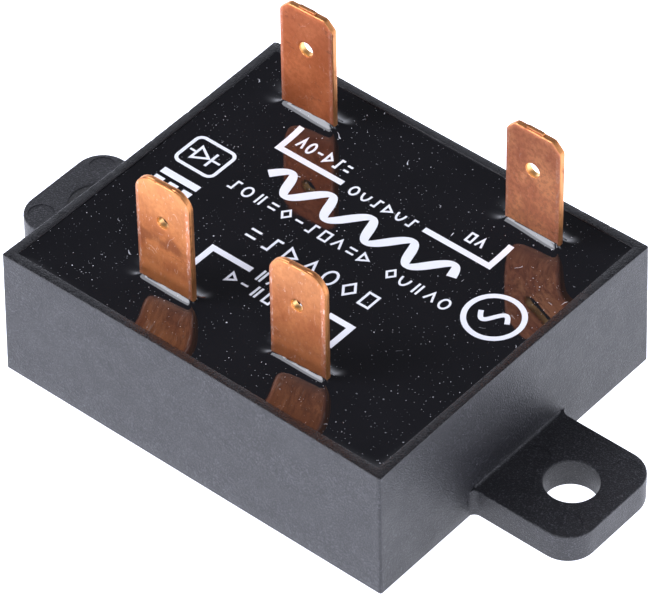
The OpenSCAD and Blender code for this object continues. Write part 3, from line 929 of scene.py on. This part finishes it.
def edge_profile(groove):
    """Across a blade's edge: coined margins, the sheared flat and a tear line along it."""
    half = BLADE_T / 2
    margin = [(COIN + 0.1, half), (COIN, half), (0.15, half - 0.04)]
    corner = [(0.06, half - 0.075), (0.015, half - 0.13), (0, half - 0.19)]
    tear = [(0, GROOVE_AT - 0.05), (groove, GROOVE_AT), (0, GROOVE_AT + 0.05)]
    return two_sided(margin + corner, tear)


def hole_profile():
    """Through the detent hole: a flat ring, then a small rounding at each face."""
    half = BLADE_T / 2
    return two_sided([(0.25, half), (0.09, half), (0.025, half - 0.025), (0, half - 0.09)])


def blade_outline(kind, low, tip):
    """A tongue on a narrow stem, or on two pins that go through the circuit board."""
    half, bevel, radius = BLADE_W / 2, BEVEL[kind], BEVEL_ROUND[kind]
    if kind == "output":
        stem = STEM_W / 2
        right = [(stem, low, 0), (stem, STEM_TOP, 0), (half, STEM_TOP, 0)]
    else:
        outer, inner = PIN_GAP / 2 + PIN_W / 2, PIN_GAP / 2 - PIN_W / 2
        right = [(inner, SHOULDER, 0), (inner, low, 0), (outer, low, 0), (outer, SHOULDER, 0)]
        right.append((half, SHOULDER, 0))
    right += [(half, tip - bevel, radius), (half - bevel, tip, radius)]
    return right + [(-x, z, r) for x, z, r in reversed(right)]


def nub(tip, height, looks, hole):
    """The torn stub on the tip where the blade was broken off its strip."""
    rough = outline([(-1, -0.22, 0.1), (1, -0.22, 0.1), (1, 0.22, 0.1), (-1, 0.22, 0.1)], 0.08, 2)
    rough = [p + Vector((0, 0.07 * noise.noise(Vector((9 * p.x, tip, p.y))))) for p in rough]
    steps = ((0, tip - 0.2), (0.01, tip + 0.7 * height), (0.05, tip + height))
    stub = tool([at_height(inset(rough, depth), z) for depth, z in steps])
    paint_faces(stub, looks, hole)
    return stub


def paint_faces(thing, looks, hole):
    """Paints the broad faces, the cut edges and the wall of the hole, an (x, z, radius)."""
    for look in looks:
        thing.data.materials.append(look)
    for face in thing.data.polygons:
        away = math.hypot(face.center.x - hole[0], face.center.z - hole[1])
        cut = 2 if away < hole[2] else 1
        face.material_index = 0 if abs(face.normal.y) > FLAT else cut


def shaped_blade(name, looks):
    """One blade in place, still in millimetres."""
    blade = BLADES[name]
    low = box_mm(blade["node"])[0].z
    tip = blade["tip"].z
    kind = blade["kind"]
    shape = outline(blade_outline(kind, low, tip), 0.6, 6)
    loops = [shape, circle((0, tip - DETENT_DROP), DETENT_R[kind], 48, clockwise=True)]
    verts, faces = plate(loops, [edge_profile(GROOVE[kind]), hole_profile()], 0.8)
    for v in verts:
        v.z += WARP * noise.noise(Vector((v.x, v.y, tip)) / WARP_SIZE)
    thing = make_object(name, verts, faces)
    thing.data.transform(Matrix.Rotation(math.pi / 2, 4, "X"))
    hole = (0, tip - DETENT_DROP, DETENT_R[kind] + 0.12)
    paint_faces(thing, looks, hole)
    added = [nub(tip, NUB_H[kind], looks, hole)]
    if kind == "output":
        half, stem = BLADE_T / 2, STEM_W / 2
        added.append(block((-stem, half - FOOT, low), (stem, half, low + BLADE_T)))
    combine(thing, added, "UNION")
    turn = Matrix.Rotation(math.radians(blade["twist"]), 4, "Z")
    thing.data.transform(Matrix.Translation((blade["tip"].x, blade["tip"].y, 0)) @ turn)
    return thing


# ---- Printed legend ----

class Print:
    """Ink lines that follow the epoxy's surface, collected into one mesh."""

    def __init__(self):
        self.verts = []
        self.faces = []

    def line(self, points, width, closed=False):
        """A line through (x, y) points, with one width or a width for each point."""
        points = [Vector(p) for p in points]
        if isinstance(width, float):
            points = self.divide(points, closed)
            width = [width] * len(points)
        rings = []
        for i, point in enumerate(points):
            behind = points[i - 1] if i or closed else point
            ahead = points[(i + 1) % len(points)] if i < len(points) - 1 or closed else point
            into = (point - behind).normalized()
            out = (ahead - point).normalized()
            side = Vector((-into.y - out.y, into.x + out.x)).normalized()
            leg = out if out.length else into
            reach = width[i] / 2 / side.dot(Vector((-leg.y, leg.x)))
            left, right = point + side * reach, point - side * reach
            tops = [Vector((*p, epoxy_top(*p) + INK)) for p in (left, right)]
            feet = [Vector((*p, epoxy_top(*p) - FILM / 2)) for p in (right, left)]
            rings.append(tops + feet)
        verts, faces = loft(rings, wrap=closed)
        if not closed:
            faces += [(0, 1, 2, 3), tuple(range(len(verts) - 4, len(verts)))]
        start = len(self.verts)
        self.verts += verts
        self.faces += [tuple(start + k for k in face) for face in faces]

    def divide(self, points, closed):
        """The same line with more points along its straight runs."""
        dense = []
        for i, point in enumerate(points):
            dense.append(point)
            if i < len(points) - 1 or closed:
                ahead = points[(i + 1) % len(points)]
                dense += divided(point, ahead, max(1, round((ahead - point).length / 0.5)))
        return dense


def glyphs():
    """Small abstract signs as lines in a box one unit wide and high."""
    turns = [math.tau * k / 20 for k in range(20)]
    ring = [(0.5 + 0.42 * math.cos(a), 0.5 + 0.46 * math.sin(a)) for a in turns]
    half_turns = [math.pi * k / 10 for k in range(11)]
    cup = [(0.5 - 0.45 * math.cos(a), 0.85 - 0.75 * math.sin(a)) for a in half_turns]
    return {
        "ring": [(ring, True)],
        "cup": [(cup, False)],
        "roof": [([(0.05, 0.1), (0.5, 0.9), (0.95, 0.1)], False)],
        "wedge": [([(0.1, 0.1), (0.9, 0.5), (0.1, 0.9)], True)],
        "diamond": [([(0.5, 0.05), (0.95, 0.5), (0.5, 0.95), (0.05, 0.5)], True)],
        "box": [([(0.12, 0.08), (0.88, 0.08), (0.88, 0.92), (0.12, 0.92)], True)],
        "bars": [([(0.1, 0.75), (0.9, 0.75)], False), ([(0.1, 0.28), (0.9, 0.28)], False)],
        "posts": [([(0.3, 0), (0.3, 1)], False), ([(0.72, 0), (0.72, 1)], False)],
        "dash": [([(0.1, 0.5), (0.9, 0.5)], False)],
        "step": [([(0.05, 0.1), (0.5, 0.1), (0.5, 0.9), (0.95, 0.9)], False)],
        "gap": [],
    }


def sign_row(legend, signs, low, high, width, fill_share):
    """A row of abstract signs between two corners."""
    shapes = glyphs()
    pitch = (high[0] - low[0]) / len(signs)
    wide, tall = pitch * fill_share, high[1] - low[1]
    for i, sign in enumerate(signs):
        left = low[0] + pitch * (i + (1 - fill_share) / 2)
        for points, closed in shapes[sign]:
            legend.line([(left + u * wide, low[1] + v * tall) for u, v in points], width, closed)


def bold_wave(legend):
    """A heavy slanting alternating-current wave across the middle, thin at its crests."""
    start, length, middle = -11.2, 22.2, 4.95
    waves, swing, slant = 4.5, 1.45, 0.28
    count = 132
    points = []
    widths = []
    for k in range(count + 1):
        t = k / count
        height = swing * math.sin(t * math.tau * waves)
        points.append((start + length * t + slant * height, middle + height))
        widths.append(0.62 + 0.4 * abs(math.cos(t * math.tau * waves)))
    legend.line(points, widths)


def round_mark(legend):
    """A ring round an alternating-current sign."""
    x, y = 17.4, 3.3
    legend.line(circle((x, y), 2.83, 64), 0.55, True)
    turns = [k / 10 - 1 for k in range(21)]
    legend.line([(x + 1.5 * t, y + 0.85 * math.sin(math.pi * t)) for t in turns], 0.5)


def diode_mark(legend):
    """A square with round corners round a diode symbol."""
    corners = [(-19.6, 0.9, 0.7), (-15.0, 0.9, 0.7), (-15.0, 4.9, 0.7), (-19.6, 4.9, 0.7)]
    legend.line(outline(corners, 1.0, 4), 0.36, True)
    legend.line([(-18.4, 2.0), (-16.9, 2.9), (-18.4, 3.8)], 0.26, True)
    legend.line([(-16.55, 1.9), (-16.55, 3.9)], 0.28)
    for ends in ((-16.4, -15.5), (-19.2, -18.55)):
        legend.line([(x, 2.9) for x in ends], 0.24)


def direct_current_mark(legend):
    """A heavy bar over three heavy dashes."""
    legend.line([(-19.3, -0.95), (-14.8, -0.95)], 0.8)
    for x in (-19.3, -17.6, -15.9):
        legend.line([(x, -2.2), (x + 1.1, -2.2)], 0.8)


def printed_legend(look):
    """All the print on the epoxy."""
    legend = Print()
    for corners in BRACKETS:
        legend.line(corners, 0.65)
    bold_wave(legend)
    round_mark(legend)
    diode_mark(legend)
    direct_current_mark(legend)
    for signs, *place in SIGN_ROWS:
        sign_row(legend, signs.split(), *place)
    print_piece = make_object("printed_legend", legend.verts, legend.faces)
    print_piece.data.materials.append(look)
    return finish_piece(print_piece, ["legend_print"])


# ---- CAD nodes that stay ----

def dress(look, *names):
    """Gives CAD nodes a material."""
    for name in names:
        for place in frame["nodes"][name].material_slots:
            place.material = look


def dress_cad_nodes(epoxy):
    """Materials of the pieces inside the case and of the spreader under it."""
    dress(epoxy, "potting")
    dress(laminate_look(), "circuit_board")
    for make_look, materials in ((metal_look, METALS), (solid_look, SOLIDS)):
        for name, (*values, nodes) in materials.items():
            dress(make_look(name, *values), *nodes.split())
    dress_axial_parts()


def dress_axial_parts():
    """Materials of the two resistors and the diode, with their painted rings."""
    brown, black = (0.12, 0.04, 0.015), (0.01, 0.01, 0.01)
    red, gold = (0.45, 0.02, 0.015), (0.6, 0.38, 0.08)
    rings = [(-2.2, 0.3, brown), (-1.1, 0.3, black), (0, 0.3, red), (1.9, 0.3, gold)]
    bodies = {
        "input_resistor": ((0.56, 0.42, 0.25), rings),
        "reverse_diode": ((0.02, 0.02, 0.022), [(1.5, 0.35, (0.7, 0.7, 0.72))]),
        "snubber_resistor": ((0.28, 0.42, 0.52), [(1.15 * at, half, tone) for at, half, tone in rings]),
    }
    for node, (base, bands) in bodies.items():
        low, high = box_mm(node)
        dress(banded_look(node + "_lacquer", base, bands, (low.x + high.x) / 2, 0.3), node)


# ---- Stage ----

def add_floor():
    """A pale floor that glows so brightly that it shows no edge or shadow, its glow dimmed near the
    object, least behind it, as a painted shade.
    """
    ring = circle((0, 0), 3000, 96)
    floor = make_object("floor", at_height(ring, 0), [tuple(range(len(ring)))])
    floor.data.transform(Matrix.Scale(MM, 4))
    look = Look("pale_floor", Roughness=0.9)
    away = look.add("VectorMath", {0: look.coords()}, operation="LENGTH").outputs["Value"]
    place = look.add("SeparateXYZ", {0: look.coords()}).outputs
    # Painted shade: the floor's glow is dimmed near the object, except behind it.
    behind = look.step(look.calc("ADD", place[0], place[1]), -20, 60, 1.2, 1.6)
    look.set("Emission Strength", look.calc("MAXIMUM", look.step(away, 20, 260, 1.2, 1.65), behind))
    tone = look.mix(look.noise(400, 2), (0.86, 0.88, 0.96), (0.89, 0.91, 0.99))
    look.set("Base Color", tone)
    look.set("Emission Color", tone)
    floor.data.materials.append(look.material)


def add_world():
    """Soft studio surroundings: bright walls near the floor and a dark ceiling."""
    world = bpy.data.worlds.new("studio")
    bpy.context.scene.world = world
    world.use_nodes = True
    nodes, links = world.node_tree.nodes, world.node_tree.links
    split = nodes.new("ShaderNodeSeparateXYZ")
    links.new(nodes.new("ShaderNodeTexCoord").outputs["Generated"], split.inputs[0])
    fade = nodes.new("ShaderNodeMapRange")
    fade.interpolation_type = "SMOOTHSTEP"
    for key, value in enumerate(HORIZON, start=1):
        fade.inputs[key].default_value = value
    links.new(split.outputs["Z"], fade.inputs[0])
    background = nodes["Background"]
    background.inputs["Color"].default_value = (0.92, 0.95, 1.08, 1)
    links.new(fade.outputs[0], background.inputs["Strength"])


def add_softbox(name, direction, distance, size, radiance):
    """A square soft light that faces the object."""
    area = size[0] * size[1]
    light = bpy.data.lights.new(name, "AREA")
    light.shape = "RECTANGLE"
    light.size, light.size_y = size
    light.energy = radiance * math.pi * area
    light.color = (0.94, 0.96, 1.05)
    lamp = bpy.data.objects.new(name, light)
    bpy.context.scene.collection.objects.link(lamp)
    away = Vector(direction).normalized()
    lamp.location = away * distance
    lamp.rotation_euler = away.to_track_quat("Z", "Y").to_euler()


def add_camera():
    """A long lens that looks down on the front right corner."""
    azimuth, elevation, roll = (math.radians(CAMERA[key]) for key in ("azimuth", "elevation", "roll"))
    back = Vector((
        math.sin(azimuth) * math.cos(elevation),
        -math.cos(azimuth) * math.cos(elevation),
        math.sin(elevation),
    ))
    camera = bpy.data.objects.new("camera", bpy.data.cameras.new("camera"))
    bpy.context.scene.collection.objects.link(camera)
    camera.data.lens = CAMERA["lens"]
    camera.data.sensor_width = 36
    camera.location = CAMERA_TARGET * MM + back * CAMERA["distance"] * MM
    aim = back.to_track_quat("Z", "Y").to_matrix() @ Matrix.Rotation(roll, 3, "Z")
    camera.rotation_euler = aim.to_euler()
    bpy.context.scene.camera = camera


# ---- The whole object ----

epoxy = epoxy_look()
moulded_case(moulding_look())
sheared = sheared_edge_look("sheared_edge", (0.66, 0.29, 0.11), (0.36, 0.13, 0.05), 0.42, 5)
# The hole's wall is freshly punched copper, painted much brighter than the sheared edges as a painted glow
# of light bouncing inside the hole.
punched_painted_bright = sheared_edge_look("punched_hole_painted_bright", (1.0, 0.60, 0.25), (0.85, 0.44, 0.16), 0.34, 11)
blades = {}
for name, tones in COPPERS.items():
    blades[name] = shaped_blade(name, (copper_look(BLADES[name], *tones), sheared, punched_painted_bright))
epoxy_skin(epoxy, list(blades.values()))
for name, thing in blades.items():
    finish_piece(thing, [BLADES[name]["node"]])
printed_legend(ink_look())
dress_cad_nodes(epoxy)

add_floor()
add_world()
for name, place in SOFTBOXES.items():
    add_softbox(name, *place)
add_camera()
bpy.context.scene.view_settings.view_transform = "Standard"
